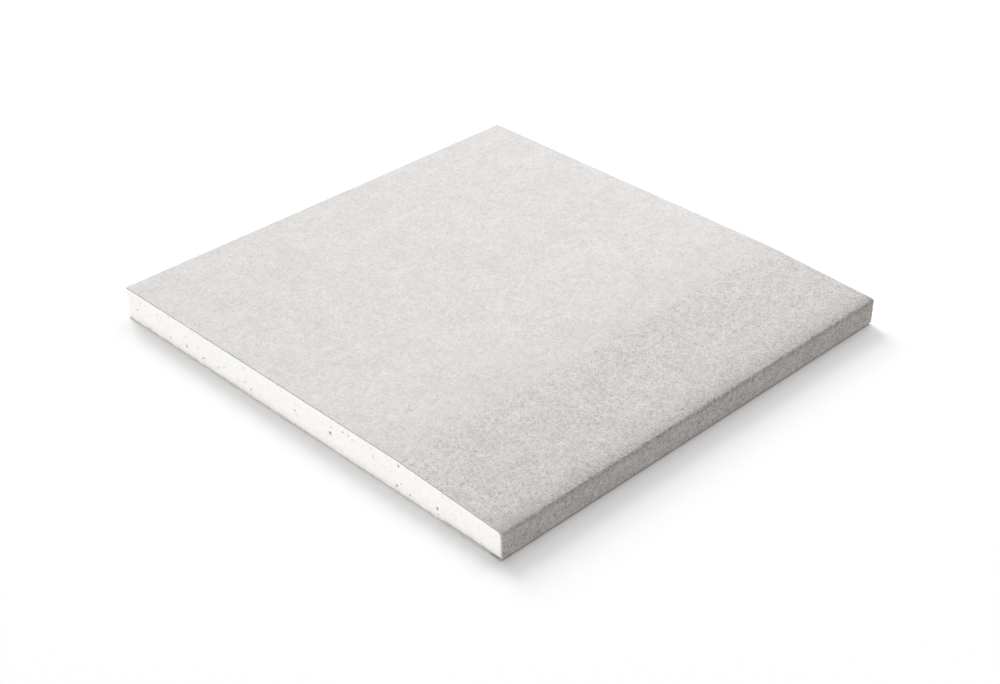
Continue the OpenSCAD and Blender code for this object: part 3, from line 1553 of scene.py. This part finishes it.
@dataclass(frozen=True)
class Studio:
    """Camera, pale floor and soft light.

    Attributes:
        azimuth: Angle of the camera round the board, in degrees.
        elevation: Angle of the camera over the floor, in degrees.
        distance: Distance from the camera to its target.
        target: Point in the middle of the picture.
        focal_pixels: Focal length in pixels of the picture.
        picture_width: Width of the picture in pixels.
        sky: Strength of the light from all round.
        floor_tone: Shade of the floor in the light that it throws back.
        floor_seen: Shade of the floor in the picture.
        floor_glow: Light that the floor adds to itself in the picture, up to white.
        floor_half: Half the width of the floor.
        floor_gap: Clearance between the floor and the board.
        lamps: The soft lamps.
    """

    azimuth: float = 45.23
    elevation: float = 33.05
    distance: float = 0.593
    target: Triple = (0.0166, -0.0162, 0.00625)
    focal_pixels: float = 1762.0
    picture_width: float = 1000.0
    sky: float = 0.385
    floor_tone: float = 0.35
    floor_seen: float = 1.0
    floor_glow: float = 0.034
    floor_half: float = 4.0
    floor_gap: float = 0.03 * MM
    lamps: tuple[Softbox, ...] = (
        Softbox("key", 162, 38, (4.8, 6.9), 770.0, 12.0),
        Softbox("back", 106, 56, (0.78, 0.78), 5.35, 1.15, Lit.BOARD),
        Softbox("wash", 101, 53, (4.0, 4.0), 104.0, 5.0, Lit.FLOOR),
        Softbox("left", 225, 22, (1.4, 1.2), 3.0),
        Softbox("front", 283, 3, (4.2, 0.75), 545.0, 9.0, Lit.BOARD),
    )

    def camera(self) -> None:
        """Sets the camera on its line of sight, level and without shift."""
        turn, lift = np.radians(self.azimuth), np.radians(self.elevation)
        back = Vector((np.sin(turn) * np.cos(lift), -np.cos(turn) * np.cos(lift), np.sin(lift)))
        right = Vector((np.cos(turn), np.sin(turn), 0.0))
        axes = Matrix((right, back.cross(right), back)).transposed()
        data = bpy.data.cameras.new("camera")
        data.sensor_fit = "HORIZONTAL"
        data.lens = self.focal_pixels / self.picture_width * data.sensor_width
        data.clip_start = 0.01
        piece = bpy.data.objects.new("camera", data)
        piece.matrix_world = Matrix.Translation(Vector(self.target) + back * self.distance) @ axes.to_4x4()
        bpy.context.scene.collection.objects.link(piece)
        bpy.context.scene.camera = piece

    @staticmethod
    def seen(shader: Shader) -> Field:
        """Is 1 where the camera looks, also by way of a reflection or through glass."""
        path = shader.node("ShaderNodeLightPath")
        straight, gloss, through = shader.fields(path, "Is Camera Ray", "Is Glossy Ray", "Is Transmission Ray")
        return straight + gloss + through

    def floor(self) -> bpy.types.Object:
        """Lays the floor, white in the picture but for the board's shadow.

        Returns:
            The floor.
        """
        material, shader = new_material("pale_floor")
        thrown = shader.field("ShaderNodeBsdfDiffuse", sockets={"Color": (*[self.floor_tone] * 3, 1.0)})
        shown = shader.field("ShaderNodeBsdfDiffuse", sockets={"Color": (*[self.floor_seen] * 3, 1.0)})
        glow = shader.field("ShaderNodeEmission", sockets={"Strength": self.floor_glow})
        white = shader.field("ShaderNodeAddShader", sockets={0: shown, 1: glow})
        surface = shader.field("ShaderNodeMixShader", sockets={0: self.seen(shader), 1: thrown, 2: white})
        shader.node("ShaderNodeOutputMaterial", sockets={"Surface": surface})
        across = np.array([-self.floor_half, self.floor_half])
        x, y = np.meshgrid(across, across, indexing="ij")
        shell = Shell()
        shell.skin(shell.add(np.stack([x, y, np.full_like(x, -self.floor_gap)], axis=-1)))
        floor = shell.make("floor", [material])
        return floor

    def world(self) -> None:
        """Lights the board evenly from all round, in front of white."""
        world = bpy.data.worlds.new("pale_room")
        world.use_nodes = True
        shader = Shader(world.node_tree)
        strength = self.sky + (1.0 - self.sky) * self.seen(shader)
        sky = shader.field("ShaderNodeBackground", sockets={"Color": (*WHITE, 1.0), "Strength": strength})
        shader.node("ShaderNodeOutputWorld", sockets={"Surface": sky})
        bpy.context.scene.world = world

    def build(self) -> None:
        """Sets up the picture."""
        bpy.context.scene.view_settings.view_transform = "Standard"
        self.camera()
        floor = self.floor()
        self.world()
        for lamp in self.lamps:
            lamp.build(floor)
        LOG.info("studio: %d lamps and a sky of %.2f", len(self.lamps), self.sky)


def cut_edges(board: Board, end_x: float, z: float) -> tuple[Array, Array, Array]:
    """Lists the three sawn edges of a paper.

    Args:
        board: Sizes of the board.
        end_x: Place where the paper ends, on the side of the bound edge.
        z: Height of the paper's middle.

    Returns:
        The starts, the ends and the outward directions of the edges.
    """
    low, high, half = board.sawn_x, end_x, board.half_length
    starts = np.array([(low, -half, z), (low, half, z), (low, -half, z)])
    ends = np.array([(high, -half, z), (high, half, z), (low, half, z)])
    outward = np.array([(0.0, -1.0, 0.0), (0.0, 1.0, 0.0), (-1.0, 0.0, 0.0)])
    return starts, ends, outward


def main() -> None:
    """Builds the board's pieces in order, then the studio."""
    logging.basicConfig(level=logging.INFO, format="%(name)s %(message)s")
    LOG.info("packed nodes: %s", ", ".join(sorted(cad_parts)))
    board = Board.from_frame()
    face_line = Profile.of_face_paper(board, 0.6 * MM)
    back_line = Profile.of_back_paper(board, 1.5 * MM)
    zones = Zones((board.taper_start_x - board.sawn_x) / MM, board.arris_run / MM, -board.half_length / MM)
    face_finish = PaperFinish("face_paper", (0.726, 0.710, 0.700), fibre=0.085, curl=0.06, fleck=0.4, zones=zones)
    back_finish = PaperFinish("back_paper", (0.47, 0.44, 0.395), fibre=0.06, curl=0.08, fleck=0.5)
    face_cut = CutPaperFinish("face_paper_cut", (0.43, 0.416, 0.40))
    back_cut = CutPaperFinish("back_paper_cut", (0.60, 0.58, 0.55))
    gypsum = GypsumFinish(
        "gypsum", (0.93, 0.915, 0.90), pore_shade_colour=(0.17, 0.16, 0.15), dust_and_shade_colour=(0.45, 0.43, 0.405)
    )
    GypsumCore(board).build(gypsum)
    face = PaperSheet(board, "face_paper_sheet", "face_paper", 101, dent=0.03 * MM)
    face.build(face_line, True, face_finish, face_cut)
    back = PaperSheet(board, "back_paper_sheet", "back_paper", 211, cockle=0.03 * MM)
    back.build(back_line, False, back_finish, back_cut)
    face_edges = cut_edges(board, board.taper_start_x, board.top_z - board.paper / 2)
    TornFibres("face_paper_fibres", "face_paper", 307).build(*face_edges, face_cut)
    back_edges = cut_edges(board, board.back_end_x, board.paper / 2)
    back_fibres = TornFibres("back_paper_fibres", "back_paper", 401, spacing=1.1 * MM, longest=0.7 * MM)
    back_fibres.build(*back_edges, back_cut)
    Studio().build()


if __name__ == "__main__":
    main()
